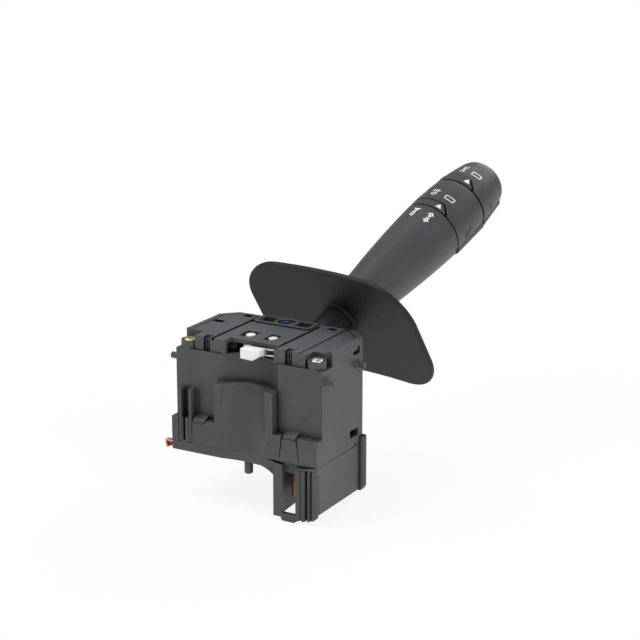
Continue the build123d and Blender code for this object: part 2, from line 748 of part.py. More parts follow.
def core_tube():
    """Tube that carries the rings inside the stalk."""
    tube = Cylinder(core_radius, ring_end - 1.0 - shield_place + 2, align=(Align.CENTER, Align.CENTER, Align.MIN))
    tube -= Cylinder(core_bore, 300)
    return stalk_frame().location * Pos(0, 0, shield_place - 2) * tube


def sector(inner_radius, outer_radius, start, arc, z0, z1):
    """Part of a ring, from the start angle over the arc, between two heights."""
    steps = 6
    far = outer_radius * 1.6
    angles = [radians(start + arc * k / steps) for k in range(steps + 1)]
    fan = make_face(Polyline((0, 0), *[(far * cos(a), far * sin(a)) for a in angles], close=True))
    ring = Circle(outer_radius) - Circle(inner_radius)
    return extrude(Pos(0, 0, z0) * (ring & fan), z1 - z0)


def index_collar(start, outer_radius, hub_reach):
    """Fixed collar with the raised index tab that shows in a ring's window."""
    hub = Pos(0, 0, start + 0.2) * Cylinder(7.0, hub_reach, align=(Align.CENTER, Align.CENTER, Align.MIN))
    disc_radius = outer_radius - shell - collar_gap
    disc = Pos(0, 0, start + 0.2) * Cylinder(
        disc_radius, tab_height - 0.4, align=(Align.CENTER, Align.CENTER, Align.MIN)
    )
    first = tab_end_angle - tab_arc
    tab = sector(disc_radius - 0.5, outer_radius, first, tab_arc, start, start + tab_height)
    tab -= slanted_end(tab_end_angle, start, 0)
    collar = hub + disc + tab
    collar -= Pos(0, 0, start) * Cylinder(core_radius, 40)
    return stalk_frame().location * collar


def window_cut(start, outer_radius):
    """Window in a ring's lower edge, long enough for the tab and the ring's whole turn."""
    arc = tab_arc + switch_range + 2 * window_end_gap
    first = tab_end_angle + window_end_gap - arc
    window = sector(
        outer_radius - 2 * shell, outer_radius + 2, first, arc, start - 1, start + tab_height + window_gap
    )
    return window - slanted_end(tab_end_angle + window_end_gap, start, window_gap)


def slanted_end(angle, start, lift):
    """Prism above the slanted end of a tab or its window, along the spoke at that angle."""
    a = radians(angle)
    spoke = Plane(origin=(0, 0, start + lift), x_dir=(-sin(a), cos(a), 0), z_dir=(cos(a), sin(a), 0))
    top = 2 * tab_height
    lean = tab_slant / tab_height
    corner = make_face(Polyline((0, 0), (-lean * top, top), (tab_slant, top), (tab_slant, 0), close=True))
    return extrude(spoke * corner, 2 * ring_bulge_radius)


def ring_shell(profile_points, inner_points, bearings, bore_radius):
    """Revolved shell with bearing discs that run on the core."""
    outer = Spline(*profile_points)
    inner = Spline(*inner_points)
    face = make_face([
        outer, Line(profile_points[-1], inner_points[0]), inner, Line(inner_points[-1], profile_points[0]),
    ])
    body = revolve(Plane.XZ * face, Axis.Z)
    for z, radius in bearings:
        body += Pos(0, 0, z) * (Cylinder(radius, 2.2) - Cylinder(bore_radius, 3))
    return body


def grip(start, end, start_radius, end_radius, angle):
    """Rounded rib along a ring, and the flute beside it, deepest at the ring's lower end."""
    lean = degrees(atan2(start_radius - end_radius, end - start))
    length = end - start
    rib = Cylinder(grip_rib_radius, length + 2, align=(Align.CENTER, Align.CENTER, Align.MIN))
    place = Rot(0, 0, angle) * Pos(start_radius + grip_proud - grip_rib_radius, 0, start - 1) * Rot(0, -lean, 0)
    rib = place * rib
    rib &= Pos(0, 0, start) * Cylinder(40, length, align=(Align.CENTER, Align.CENTER, Align.MIN))
    flute = Cone(6.0, 2.6, length - 2.5, align=(Align.CENTER, Align.CENTER, Align.MIN))
    place = Rot(0, 0, angle - flute_angle) * Pos(start_radius + 4.9, 0, start + tab_height + 1.2)
    flute = place * flute
    return rib, flute


def fog_ring():
    """Middle rotary ring: rear and front fog lamps."""
    start = sleeve_end + seam
    middle = (start + ring_end) / 2
    outer = [(sleeve_end_radius, start), (ring_bulge_radius, middle - 3), (ring_end_radius, ring_end)]
    inner = [(r - shell, z) for r, z in reversed(outer)]
    bearings = [(start + tab_height + 3.4, ring_bulge_radius - shell / 2), (ring_end - 3.4, ring_end_radius - shell / 2)]
    body = ring_shell(outer, inner, bearings, core_radius + running_gap)
    rib, flute = grip(start, ring_end, sleeve_end_radius, ring_end_radius + 0.2, grip_angle)
    body += rib - Pos(0, 0, start) * Cylinder(ring_end_radius - shell / 2, 100)
    body -= flute
    body -= window_cut(start, sleeve_end_radius + 0.2)
    return stalk_frame().location * body


def light_knob():
    """End knob with a domed tip: the lamp switch, which is also pressed for the horn."""
    start = knob_start
    waist = knob_end - dome_height
    middle = start + dome_height
    outer = [
        (ring_end_radius - 0.05, start), (knob_middle_radius, middle), (knob_waist_radius, waist),
        (0.89 * knob_waist_radius, waist + 0.5 * dome_height), (0.6 * knob_waist_radius, waist + 0.83 * dome_height),
        (0, knob_end),
    ]
    side = Spline(*outer, tangents=[(-0.06, 1), (-1, 0)])
    top_in = waist - 1
    inner = [(knob_waist_radius - shell, top_in), (knob_middle_radius - shell, middle),
             (ring_end_radius - 0.05 - shell, start)]
    face = make_face([
        side, Line((0, knob_end), (0, top_in)), Line((0, top_in), inner[0]), Spline(*inner),
        Line(inner[-1], outer[0]),
    ])
    body = revolve(Plane.XZ * face, Axis.Z)
    disc_z = start + tab_height + 3.4
    body += Pos(0, 0, disc_z) * (Cylinder(knob_middle_radius - shell / 2, 2.2) - Cylinder(core_radius + running_gap, 3))
    rib, flute = grip(start, waist, ring_end_radius - 0.05, knob_waist_radius, grip_angle)
    body += rib - Pos(0, 0, start) * Cylinder(knob_waist_radius - shell / 2, 2 * dome_height + knob_end)
    body -= flute
    body -= window_cut(start, ring_end_radius)
    return stalk_frame().location * body


def push_rod():
    """Rod that slides in the core tube and carries the knob, for the horn."""
    head_start = ring_end + 0.1
    stem = Cylinder(core_bore - running_gap, head_start - rod_start, align=(Align.CENTER, Align.CENTER, Align.MIN))
    head_end = knob_end - dome_height - 1.5
    head = Cylinder(core_radius, head_end - head_start, align=(Align.CENTER, Align.CENTER, Align.MIN))
    return stalk_frame().location * (Pos(0, 0, rod_start) * stem + Pos(0, 0, head_start) * head)


def as_solids(shape):
    """Cleaned copy of a shape as one compound of its solids."""
    solids = shape.solids()
    return solids[0] if len(solids) == 1 else Compound(children=solids)


upper_pin, lower_pin = trunnion_pins()
nodes = {
    "case": case(),
    "saddle_cover": saddle_cover(),
    "connector_base": base(),
    "top_cover": top_cover(),
    "cover_screw_left": cover_screw(-1),
    "cover_screw_right": cover_screw(1),
    "terminal_blades": terminal_blades(),
    "side_contact": side_contact(),
    "contact_board": contact_board(),
    "detent_track": detent_track(),
    "turn_yoke": turn_yoke(),
    "upper_trunnion": upper_pin,
    "lower_trunnion": lower_pin,
    "tilt_pin": tilt_pin(),
    "detent_plunger": detent_plunger(),
    "contact_wiper": contact_wiper(),
    "cancel_slider": cancel_slider(),
    "cancel_finger": cancel_finger(),
    "lever_root": lever_root(),
    "shield_plate": shield_plate(),
    "stalk_sleeve": stalk_sleeve(),
    "core_tube": core_tube(),
    "index_collar_fog": index_collar(sleeve_end + seam, sleeve_end_radius, tab_height),
    "fog_ring": fog_ring(),
    "push_rod": push_rod(),
    "index_collar_light": index_collar(knob_start, ring_end_radius - 0.05, tab_height),
    "light_knob": light_knob(),
}

os.makedirs("parts", exist_ok=True)
for name, shape in nodes.items():
    export_step(as_solids(shape), f"parts/{name}.step")
    print(name, len(shape.solids()), "solids, volume", round(shape.volume, 1))
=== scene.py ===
# Dresses the combination stalk switch: moulded skins with rounded edges and finer cuts, the pawl's
# head, the bearing ring, the copper strip, the printed marks and the stage.
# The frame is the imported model's, in metres: X along the housing's front, Y away from the steering
# column, Z towards the driver. The tables of shapes are in mm.
import json
import math

import bmesh
import bpy
from mathutils import Matrix, Vector
from mathutils.bvhtree import BVHTree


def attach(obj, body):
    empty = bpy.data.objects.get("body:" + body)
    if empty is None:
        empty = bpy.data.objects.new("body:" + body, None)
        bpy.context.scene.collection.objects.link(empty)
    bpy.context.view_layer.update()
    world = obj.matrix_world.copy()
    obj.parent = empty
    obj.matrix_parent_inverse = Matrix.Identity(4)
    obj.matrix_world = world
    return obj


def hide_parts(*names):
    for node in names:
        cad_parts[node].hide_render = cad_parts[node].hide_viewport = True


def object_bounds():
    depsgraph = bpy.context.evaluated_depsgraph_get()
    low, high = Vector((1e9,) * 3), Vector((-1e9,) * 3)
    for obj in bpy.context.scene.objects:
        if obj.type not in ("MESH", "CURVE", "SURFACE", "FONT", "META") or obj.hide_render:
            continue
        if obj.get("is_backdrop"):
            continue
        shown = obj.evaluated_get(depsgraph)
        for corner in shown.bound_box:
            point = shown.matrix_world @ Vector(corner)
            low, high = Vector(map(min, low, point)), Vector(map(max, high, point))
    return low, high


bl_info = {
    "name": "Stalk Switch Dresser",
    "version": (1, 0, 0),
    "blender": (4, 5, 0),
    "location": "View3D > Sidebar > Stalk Switch",
    "description": "Skins, prints and lights a combination stalk switch",
    "category": "Object",
}

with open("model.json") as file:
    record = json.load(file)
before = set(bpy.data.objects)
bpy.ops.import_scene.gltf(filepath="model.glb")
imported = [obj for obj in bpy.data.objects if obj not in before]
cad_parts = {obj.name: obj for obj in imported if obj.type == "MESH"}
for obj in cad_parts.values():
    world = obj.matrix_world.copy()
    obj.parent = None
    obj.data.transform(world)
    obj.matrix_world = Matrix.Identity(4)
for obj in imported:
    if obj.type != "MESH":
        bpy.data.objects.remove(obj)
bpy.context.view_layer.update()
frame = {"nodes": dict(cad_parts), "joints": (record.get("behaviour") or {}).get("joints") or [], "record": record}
MM = 0.001
# Points closer than this are one, in metres.
MERGE = 2e-6
# What is left of a plastic's colour where shade is painted into its recesses, and how much paler the cover is than
# the housing.
PAINTED_SHADE_SHARE = 0.1
COVER_SHADE = 1.12
# Dull patches per metre on the metals.
METAL_PATCHES = 700.0

# The stalk turns and tilts about this point, and its axis leans right and up from the housing. Its rings
# turn about that axis.
PIVOT = Vector((-2.4, 30.2, 24.3)) * MM
JOINTS = {joint["name"]: joint for joint in frame["joints"]}
STALK_AXIS = Vector(JOINTS["fog_turn"]["axis"]).normalized()
STALK_SIDE = STALK_AXIS.cross(Vector((0, 0, 1))).normalized() * -1
STALK_UP = STALK_AXIS.cross(STALK_SIDE)

# Faces this close to level are merged, edges past the second angle are rounded and past the third they
# shade sharp.
FLAT_WITHIN = math.radians(0.6)
ROUNDED_PAST = math.radians(30)
SHARP_PAST = math.radians(38)
ROUNDING_STEPS = 2
MARK_STEPS = 32

# Each skin: CAD node, body it rides on, material slot, edge rounding in mm.
SKINS = {
    "case": ("housing", "housing_plastic", 0.14),
    "saddle_cover": ("housing", "housing_plastic", 0.14),
    "connector_base": ("housing", "housing_plastic", 0.14),
    "top_cover": ("housing", "cover_plastic", 0.1),
    "cover_screw_left": ("housing", "yellow_zinc", 0.05),
    "cover_screw_right": ("housing", "bright_zinc", 0.05),
    "shield_plate": ("lever", "shield_plastic", 0.6),
    "stalk_sleeve": ("lever", "stalk_plastic", 0.12),
    "index_collar_fog": ("lever", "stalk_plastic", 0.12),
    "fog_ring": ("fog_switch", "stalk_plastic", 0.12),
    "index_collar_light": ("horn_push", "stalk_plastic", 0.12),
    "light_knob": ("light_switch", "stalk_plastic", 0.12),
    "cancel_slider": ("cancel_carriage", "white_acetal", 0.1),
    "cancel_finger": ("cancel_pawl", "white_acetal", 0.1),
    "lever_root": ("lever", "yoke_plastic", 0.12),
    "turn_yoke": ("turn_carrier", "yoke_plastic", 0.14),
    "terminal_blades": ("housing", "copper", 0.05),
}


class StalkSwitchSizes(bpy.types.PropertyGroup):
    """Sizes of the switch's dressing."""

    print_lift: bpy.props.FloatProperty(
        name="Print Lift", description="Height of the printed marks over the surface",
        default=0.00003, min=0.0, subtype="DISTANCE", unit="LENGTH",
    )
    print_stroke: bpy.props.FloatProperty(
        name="Print Stroke", description="Width of the lines in the printed marks",
        default=0.00048, min=0.0001, subtype="DISTANCE", unit="LENGTH",
    )
    ejector_depth: bpy.props.FloatProperty(
        name="Ejector Depth", description="Depth of the round ejector marks in the mouldings",
        default=0.00015, min=0.0, subtype="DISTANCE", unit="LENGTH",
    )
    camera_distance: bpy.props.FloatProperty(
        name="Camera Distance", description="Distance of the camera from the housing",
        default=0.7132, min=0.1, subtype="DISTANCE", unit="LENGTH",
    )


class StalkSwitchColours(bpy.types.PropertyGroup):
    """Colours of the switch's finishes."""

    housing: bpy.props.FloatVectorProperty(
        name="Housing", description="Moulded housing, cover and base", subtype="COLOR",
        default=(0.056, 0.058, 0.063), min=0.0, max=1.0,
    )
    stalk: bpy.props.FloatVectorProperty(
        name="Stalk", description="Sleeve, rings and knob", subtype="COLOR",
        default=(0.047, 0.050, 0.054), min=0.0, max=1.0,
    )
    shield: bpy.props.FloatVectorProperty(
        name="Shield", description="Curved dust shield", subtype="COLOR",
        default=(0.0098, 0.0105, 0.0125), min=0.0, max=1.0,
    )
    print_ink: bpy.props.FloatVectorProperty(
        name="Print", description="Ink of the marks", subtype="COLOR",
        default=(0.85, 0.85, 0.84), min=0.0, max=1.0,
    )


def add_node(tree, kind, **values):
    """Adds a shader node and sets its properties and its sockets' defaults."""
    node = tree.nodes.new(kind)
    for key, value in values.items():
        if hasattr(node, key):
            setattr(node, key, value)
        else:
            node.inputs[key.replace("_", " ")].default_value = value
    return node


def one_over(tree, socket):
    """Gives the socket of one over a value, which turns a size into a texture's scale."""
    node = add_node(tree, "ShaderNodeMath", operation="DIVIDE")
    node.inputs[0].default_value = 1.0
    tree.links.new(socket, node.inputs[1])
    return node.outputs[0]


def new_group(name, inputs, outputs):
    """Starts a shader node group with named sockets and returns it with its input and output nodes."""
    group = bpy.data.node_groups.new(name, "ShaderNodeTree")
    for label, kind, value in inputs:
        socket = group.interface.new_socket(label, in_out="INPUT", socket_type=kind)
        socket.default_value = value
    for label, kind in outputs:
        group.interface.new_socket(label, in_out="OUTPUT", socket_type=kind)
    return group, group.nodes.new("NodeGroupInput"), group.nodes.new("NodeGroupOutput")


def moulded_grain_group():
    """Fine spark-eroded grain with slow shade changes, as moulded plastic has."""
    group, given, result = new_group(
        "Moulded Grain",
        [("Grain Size", "NodeSocketFloat", 0.0004), ("Shade Size", "NodeSocketFloat", 0.02),
         ("Dark", "NodeSocketFloat", 0.85), ("Light", "NodeSocketFloat", 1.15)],
        [("Height", "NodeSocketFloat"), ("Shade", "NodeSocketFloat"), ("Speck", "NodeSocketFloat")],
    )
    link = group.links.new
    place = add_node(group, "ShaderNodeTexCoord")
    grain_scale = one_over(group, given.outputs["Grain Size"])
    cells = add_node(group, "ShaderNodeTexVoronoi", feature="SMOOTH_F1", Smoothness=0.6)
    link(place.outputs["Object"], cells.inputs["Vector"])
    link(grain_scale, cells.inputs["Scale"])
    fine = add_node(group, "ShaderNodeTexNoise", Detail=3.0)
    link(place.outputs["Object"], fine.inputs["Vector"])
    link(grain_scale, fine.inputs["Scale"])
    both = add_node(group, "ShaderNodeMath", operation="MULTIPLY_ADD")
    link(cells.outputs["Distance"], both.inputs[0])
    both.inputs[1].default_value = 0.6
    link(fine.outputs["Fac"], both.inputs[2])
    link(both.outputs[0], result.inputs["Height"])
    slow = add_node(group, "ShaderNodeTexNoise", Detail=2.0)
    link(place.outputs["Object"], slow.inputs["Vector"])
    link(one_over(group, given.outputs["Shade Size"]), slow.inputs["Scale"])
    shade = add_node(group, "ShaderNodeMapRange", From_Min=0.3, From_Max=0.7)
    link(slow.outputs["Fac"], shade.inputs["Value"])
    link(given.outputs["Dark"], shade.inputs["To Min"])
    link(given.outputs["Light"], shade.inputs["To Max"])
    link(shade.outputs["Result"], result.inputs["Shade"])
    link(fine.outputs["Fac"], result.inputs["Speck"])
    return group


def edge_wear_group():
    """Mask that is 1 on worn convex edges and 0 on faces."""
    group, given, result = new_group(
        "Edge Wear",
        [("Width", "NodeSocketFloat", 0.0004), ("Patch Size", "NodeSocketFloat", 0.004)],
        [("Mask", "NodeSocketFloat"), ("Normal", "NodeSocketVector")],
    )
    link = group.links.new
    rounded = add_node(group, "ShaderNodeBevel", samples=4)
    link(given.outputs["Width"], rounded.inputs["Radius"])
    face = add_node(group, "ShaderNodeNewGeometry")
    dot = add_node(group, "ShaderNodeVectorMath", operation="DOT_PRODUCT")
    link(rounded.outputs["Normal"], dot.inputs[0])
    link(face.outputs["True Normal"], dot.inputs[1])
    turn = add_node(group, "ShaderNodeMapRange", From_Min=0.995, From_Max=0.86)
    link(dot.outputs["Value"], turn.inputs["Value"])
    place = add_node(group, "ShaderNodeTexCoord")
    patches = add_node(group, "ShaderNodeTexNoise", Detail=4.0)
    link(place.outputs["Object"], patches.inputs["Vector"])
    link(one_over(group, given.outputs["Patch Size"]), patches.inputs["Scale"])
    worn = add_node(group, "ShaderNodeMath", operation="MULTIPLY")
    link(turn.outputs["Result"], worn.inputs[0])
    link(patches.outputs["Fac"], worn.inputs[1])
    link(worn.outputs[0], result.inputs["Mask"])
    link(rounded.outputs["Normal"], result.inputs["Normal"])
    return group


def painted_recess_shade_group():
    """Mask for painted shade, 1 in narrow gaps and inner corners that ambient occlusion finds closed in."""
    group, given, result = new_group(
        "Painted Recess Shade",
        [("Reach", "NodeSocketFloat", 0.0035), ("Open", "NodeSocketFloat", 0.92)],
        [("Mask", "NodeSocketFloat")],
    )
    link = group.links.new
    closeness = add_node(group, "ShaderNodeAmbientOcclusion", samples=8)
    link(given.outputs["Reach"], closeness.inputs["Distance"])
    gap = add_node(group, "ShaderNodeMapRange")
    link(closeness.outputs["AO"], gap.inputs["Value"])
    link(given.outputs["Open"], gap.inputs["From Max"])
    gap.inputs["To Min"].default_value = 1.0
    gap.inputs["To Max"].default_value = 0.0
    link(gap.outputs["Result"], result.inputs["Mask"])
    return group


GROUPS = {}


def shared_group(name):
    """Gives a node group, and builds it the first time."""
    makers = {"grain": moulded_grain_group, "wear": edge_wear_group, "painted_shade": painted_recess_shade_group}
    if name not in GROUPS:
        GROUPS[name] = makers[name]()
    return GROUPS[name]


def moulded_plastic(
    name, colour, roughness, grain, depth, worn_colour, specular=0.5, subsurface=0.0
):
    """Plastic with grain, slow shade changes, rubbed edges, painted shade in its recesses and roughness that
    varies.
    """
    material = bpy.data.materials.new(name)
    material.use_nodes = True
    tree = material.node_tree
    link = tree.links.new
    shader = tree.nodes["Principled BSDF"]
    shader.inputs["Specular IOR Level"].default_value = specular
    shader.inputs["Subsurface Weight"].default_value = subsurface
    if subsurface:
        shader.inputs["Subsurface Radius"].default_value = (0.0012, 0.0011, 0.0009)
        shader.inputs["Subsurface Scale"].default_value = 1.0
    texture = add_node(tree, "ShaderNodeGroup", node_tree=shared_group("grain"), Grain_Size=grain)
    wear = add_node(tree, "ShaderNodeGroup", node_tree=shared_group("wear"))
    shade = add_node(tree, "ShaderNodeMix", data_type="RGBA", blend_type="MULTIPLY", Factor=1.0)
    shade.inputs[6].default_value = (*colour, 1.0)
    link(texture.outputs["Shade"], shade.inputs[7])
    rub = add_node(tree, "ShaderNodeMix", data_type="RGBA")
    link(wear.outputs["Mask"], rub.inputs["Factor"])
    link(shade.outputs[2], rub.inputs[6])
    rub.inputs[7].default_value = (*worn_colour, 1.0)
    # Painted shade: the colour darkens towards a share of itself in gaps and inner corners.
    painted_shade = add_node(tree, "ShaderNodeGroup", node_tree=shared_group("painted_shade"))
    colour_with_painted_shade = add_node(tree, "ShaderNodeMix", data_type="RGBA")
    link(painted_shade.outputs["Mask"], colour_with_painted_shade.inputs["Factor"])
    link(rub.outputs[2], colour_with_painted_shade.inputs[6])
    colour_with_painted_shade.inputs[7].default_value = (*(PAINTED_SHADE_SHARE * c for c in colour), 1.0)
    link(colour_with_painted_shade.outputs[2], shader.inputs["Base Color"])
    rough = add_node(tree, "ShaderNodeMapRange", To_Min=roughness - 0.08, To_Max=roughness + 0.08)
    link(texture.outputs["Speck"], rough.inputs["Value"])
    link(rough.outputs["Result"], shader.inputs["Roughness"])
    bump = add_node(tree, "ShaderNodeBump", Strength=1.0, Distance=depth)
    link(texture.outputs["Height"], bump.inputs["Height"])
    link(wear.outputs["Normal"], bump.inputs["Normal"])
    link(bump.outputs["Normal"], shader.inputs["Normal"])
    return material


def plated_metal(name, colour, dull_colour, roughness, stretch):
    """Metal with fine drawn or turned lines and dull patches."""
    material = bpy.data.materials.new(name)
    material.use_nodes = True
    tree = material.node_tree
    link = tree.links.new
    shader = tree.nodes["Principled BSDF"]
    shader.inputs["Metallic"].default_value = 1.0
    place = add_node(tree, "ShaderNodeTexCoord")
    scale = add_node(tree, "ShaderNodeMapping", Scale=stretch)
    link(place.outputs["Object"], scale.inputs["Vector"])
    lines = add_node(tree, "ShaderNodeTexNoise", Scale=1.0, Detail=4.0)
    link(scale.outputs["Vector"], lines.inputs["Vector"])
    patches = add_node(tree, "ShaderNodeTexNoise", Scale=METAL_PATCHES, Detail=5.0)
    link(place.outputs["Object"], patches.inputs["Vector"])
    mix = add_node(tree, "ShaderNodeMix", data_type="RGBA")
    mix.inputs[6].default_value = (*colour, 1.0)
    mix.inputs[7].default_value = (*dull_colour, 1.0)
    link(patches.outputs["Fac"], mix.inputs["Factor"])
    link(mix.outputs[2], shader.inputs["Base Color"])
    rough = add_node(tree, "ShaderNodeMapRange", To_Min=roughness - 0.1, To_Max=roughness + 0.14)
    link(lines.outputs["Fac"], rough.inputs["Value"])
    link(rough.outputs["Result"], shader.inputs["Roughness"])
    wear = add_node(tree, "ShaderNodeGroup", node_tree=shared_group("wear"), Width=0.0002)
    bump = add_node(tree, "ShaderNodeBump", Strength=0.5, Distance=0.00001)
    link(lines.outputs["Fac"], bump.inputs["Height"])
    link(wear.outputs["Normal"], bump.inputs["Normal"])
    link(bump.outputs["Normal"], shader.inputs["Normal"])
    return material


MATERIALS = {}


def make_materials(colours):
    """Builds every finish, under the names of the record's material slots."""
    housing = tuple(colours.housing)
    stalk = tuple(colours.stalk)
    shield = tuple(colours.shield)
    ink = tuple(colours.print_ink)
    # Colour, roughness, grain size, grain depth, colour where worn, specular level, subsurface weight.
    plastics = {
        "housing_plastic": (housing, 0.46, 0.00035, 0.000018, (0.13, 0.135, 0.14)),
        "cover_plastic": (
            tuple(COVER_SHADE * c for c in housing), 0.5, 0.00045, 0.000022, (0.15, 0.155, 0.16)
        ),
        "yoke_plastic": ((0.012, 0.0125, 0.0135), 0.45, 0.0006, 0.000006, (0.04, 0.04, 0.042), 0.35),
        "shield_plastic": (shield, 0.55, 0.0005, 0.00002, (0.04, 0.042, 0.045), 0.3),
        "stalk_plastic": (stalk, 0.44, 0.00028, 0.000012, (0.085, 0.09, 0.095)),
        "board_plastic": ((0.09, 0.085, 0.07), 0.55, 0.0006, 0.00001, (0.16, 0.15, 0.13)),
        "natural_acetal": ((0.8, 0.79, 0.74), 0.33, 0.0008, 0.000004, (0.86, 0.85, 0.81), 0.5, 0.1),
        "white_acetal": ((0.86, 0.86, 0.84), 0.32, 0.0008, 0.000004, (0.92, 0.92, 0.9), 0.5, 0.1),
        "blue_plastic": ((0.012, 0.05, 0.18), 0.3, 0.0008, 0.000004, (0.04, 0.11, 0.28)),
        "print_ink": (ink, 0.55, 0.0002, 0.000004, (0.8, 0.8, 0.79)),
    }
    # Colour, colour of dull patches, roughness, lines per metre along each axis.
    metals = {
        # The copper is painted darker than the warm copper, as painted shade on the blades that lie in the
        # shroud's shadow.
        "copper": ((0.42, 0.15, 0.075), (0.22, 0.075, 0.04), 0.36, (900.0, 900.0, 9000.0)),
        "warm_copper": ((0.82, 0.48, 0.34), (0.6, 0.26, 0.17), 0.3, (900.0, 900.0, 9000.0)),
        "yellow_zinc": ((0.86, 0.77, 0.46), (0.7, 0.56, 0.28), 0.3, (5000.0, 5000.0, 900.0)),
        "bright_zinc": ((0.83, 0.84, 0.85), (0.6, 0.6, 0.61), 0.28, (5000.0, 5000.0, 900.0)),
    }
    for name, row in plastics.items():
        MATERIALS[name] = moulded_plastic(name, *row)
    for name, row in metals.items():
        MATERIALS[name] = plated_metal(name, *row)


def give_material(piece, slot_name, material_name=None):
    """Gives a piece the finish of its slot in the record, or another finish that is named."""
    piece.data.materials.clear()
    piece.data.materials.append(MATERIALS[material_name or slot_name])


def new_piece(name, bm, body, slot_name, material_name=None):
    """Turns a bmesh into a piece that rides on a body."""
    mesh = bpy.data.meshes.new(name)
    bm.to_mesh(mesh)
    bm.free()
    piece = bpy.data.objects.new(name, mesh)
    bpy.context.scene.collection.objects.link(piece)
    give_material(piece, slot_name, material_name)
    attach(piece, body)
    return piece


def round_cutter(bm, centre, axis, radius, depth):
    """Adds a cylinder that sinks a round mark; centre and radius in mm, depth in metres."""
    aim = Vector((0, 0, 1)).rotation_difference(Vector(axis)).to_matrix().to_4x4()
    bmesh.ops.create_cone(
        bm, cap_ends=True, segments=MARK_STEPS, radius1=radius * MM, radius2=radius * MM,
        depth=2 * depth, matrix=Matrix.Translation(Vector(centre) * MM) @ aim,
    )


def prism(bm, axis, start, end, corners):
    """Adds a prism along axis 0, 1 or 2, with its corners on the other two axes, in mm."""
    across = [k for k in range(3) if k != axis]
    first = []
    for corner in corners:
        place = Vector((0, 0, 0))
        place[axis] = start
        place[across[0]], place[across[1]] = corner
        first.append(bm.verts.new(place * MM))
    made = bmesh.ops.extrude_face_region(bm, geom=[bm.faces.new(first)])["geom"]
    run = Vector((0, 0, 0))
    run[axis] = (end - start) * MM
    moved = [part for part in made if isinstance(part, bmesh.types.BMVert)]
    bmesh.ops.translate(bm, verts=moved, vec=run)
    bmesh.ops.recalc_face_normals(bm, faces=bm.faces)


def block(x0, x1, y0, y1, z0, z1):
    """Gives the row that prism takes for a box, in mm."""
    return 2, z0, z1, [(x0, y0), (x1, y0), (x1, y1), (x0, y1)]


def carved(bm, cutter, solver="EXACT"):
    """Cuts closed shapes out of a closed mesh and returns what is left."""
    pieces = []
    for name, source in (("carved", bm), ("cutter", cutter)):
        mesh = bpy.data.meshes.new(name)
        source.to_mesh(mesh)
        source.free()
        piece = bpy.data.objects.new(name, mesh)
        bpy.context.scene.collection.objects.link(piece)
        pieces.append(piece)
    cut = pieces[0].modifiers.new("Cut", "BOOLEAN")
    cut.operation = "DIFFERENCE"
    cut.solver = solver
    cut.object = pieces[1]
    result = bmesh.new()
    result.from_object(pieces[0], bpy.context.evaluated_depsgraph_get())
    for piece in pieces:
        bpy.data.meshes.remove(piece.data)
    return result


# Round marks that the ejector pins leave, by node: centre, direction the surface faces, radius.
EJECTOR_MARKS = {
    "saddle_cover": [((-11.6, -3.6, 7.2), (0, -1, 0), 0.9), ((11.1, -3.6, 8.0), (0, -1, 0), 0.9)],
    "case": [((-23.8, 0, 28.6), (0, -1, 0), 1.3), ((22.6, 0, 18.0), (0, -1, 0), 1.1)],
}

